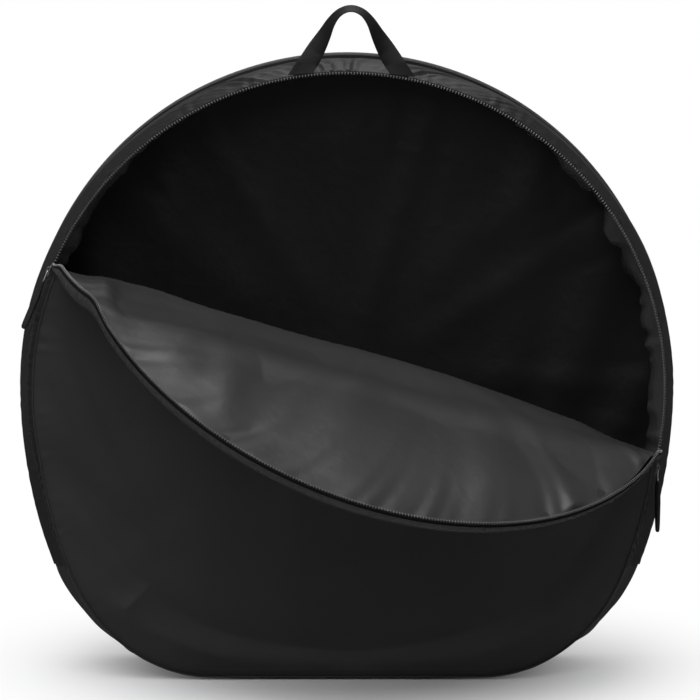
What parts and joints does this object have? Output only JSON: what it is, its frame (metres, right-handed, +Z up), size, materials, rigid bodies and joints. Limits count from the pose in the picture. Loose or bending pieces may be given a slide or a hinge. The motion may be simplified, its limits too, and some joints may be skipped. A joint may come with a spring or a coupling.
{
  "type": "bike wheel bag",
  "caption": "Upright round padded bag for a bicycle wheel: flat base, zip round the upper arc with pulls, front folded down over an oblique fold, webbing handle on top.",
  "frame": {"origin": "middle of the flat underside, where the bag stands", "axes": "+X to the right as seen from the front, -Y towards the front and the opening, +Z up to the handle"},
  "size_m": [0.756, 0.4656, 0.7845],
  "materials": {
    "nylon": "matte black woven nylon",
    "strip_nylon": "black woven nylon, a little lighter and puckered",
    "foam": "closed-cell foam",
    "lining": "matte black lining",
    "coated_lining": "satin coated lining, dark grey",
    "tape": "matte woven zip tape",
    "coil": "satin nylon coil",
    "webbing": "matte ribbed webbing",
    "slider_metal": "satin black enamel",
    "pull_rubber": "matte moulded rubber",
    "board": "matte plastic sheet"
  },
  "bodies": {
    "bag": {"back_outer": "nylon", "back_foam": "foam", "back_lining": "lining", "back_piping": "nylon", "gusset_band": "strip_nylon", "gusset_lining": "lining", "base_band": "nylon", "base_board": "board", "base_lining": "lining", "front_outer": "nylon", "front_foam": "foam", "front_lining": "coated_lining", "front_strip_left": "strip_nylon", "front_strip_right": "strip_nylon", "zip_tape_back": "tape", "zip_coil_back": "coil", "zip_end_left": "nylon", "zip_end_right": "nylon", "handle_foot_left": "webbing", "handle_foot_right": "webbing"},
    "flap_near": {"flap_near_front_outer": "nylon", "flap_near_front_foam": "foam", "flap_near_front_lining": "coated_lining", "flap_near_front_strip_left": "strip_nylon", "flap_near_front_strip_right": "strip_nylon", "flap_near_zip_tape_left": "tape", "flap_near_zip_tape_right": "tape", "flap_near_zip_coil_left": "coil", "flap_near_zip_coil_right": "coil"},
    "flap_far": {"flap_far_front_outer": "nylon", "flap_far_front_foam": "foam", "flap_far_front_lining": "coated_lining", "flap_far_front_strip": "strip_nylon", "flap_far_zip_tape": "tape", "flap_far_zip_coil": "coil"},
    "slider_left": {"slider_left": "slider_metal"},
    "slider_right": {"slider_right": "slider_metal"},
    "pull_left": {"pull_ring_left": "slider_metal", "pull_left": "pull_rubber"},
    "pull_right": {"pull_ring_right": "slider_metal", "pull_right": "pull_rubber"},
    "handle": {"handle": "webbing"}
  },
  "joints": [
    {"name": "flap_fold", "type": "hinge", "parent": "bag", "child": "flap_near", "pos_m": [0, -0.075, 0.376], "axis": [-0.9537, 0, 0.3007], "range_deg": [0, 95]},
    {"name": "flap_bend", "type": "hinge", "parent": "flap_near", "child": "flap_far", "pos_m": [0.0083, -0.18458, 0.36333], "axis": [-0.9456, -0.1593, 0.2835], "range_deg": [0, 25]},
    {"name": "slider_left_run", "type": "hinge", "parent": "bag", "child": "slider_left", "pos_m": [0, -0.055, 0.337], "axis": [0, 1, 0], "range_deg": [0, 66.7]},
    {"name": "slider_right_run", "type": "hinge", "parent": "bag", "child": "slider_right", "pos_m": [0, -0.055, 0.337], "axis": [0, -1, 0], "range_deg": [0, 103.2]},
    {"name": "pull_left_swing", "type": "hinge", "parent": "slider_left", "child": "pull_left", "pos_m": [-0.34486, -0.055, 0.47703], "axis": [0, 1, 0], "range_deg": [0, 150]},
    {"name": "pull_right_swing", "type": "hinge", "parent": "slider_right", "child": "pull_right", "pos_m": [0.36051, -0.055, 0.24444], "axis": [0, 1, 0], "range_deg": [-150, 8]},
    {"name": "handle_swing", "type": "hinge", "parent": "bag", "child": "handle", "pos_m": [0.005, -0.044, 0.70832], "axis": [-1, 0, 0], "range_deg": [-60, 60], "stiffness_Nm_per_rad": 0.03}
  ],
  "couplings": [
    {"joint": "flap_bend", "follows": "flap_fold", "ratio": 0.26315}
  ]
}
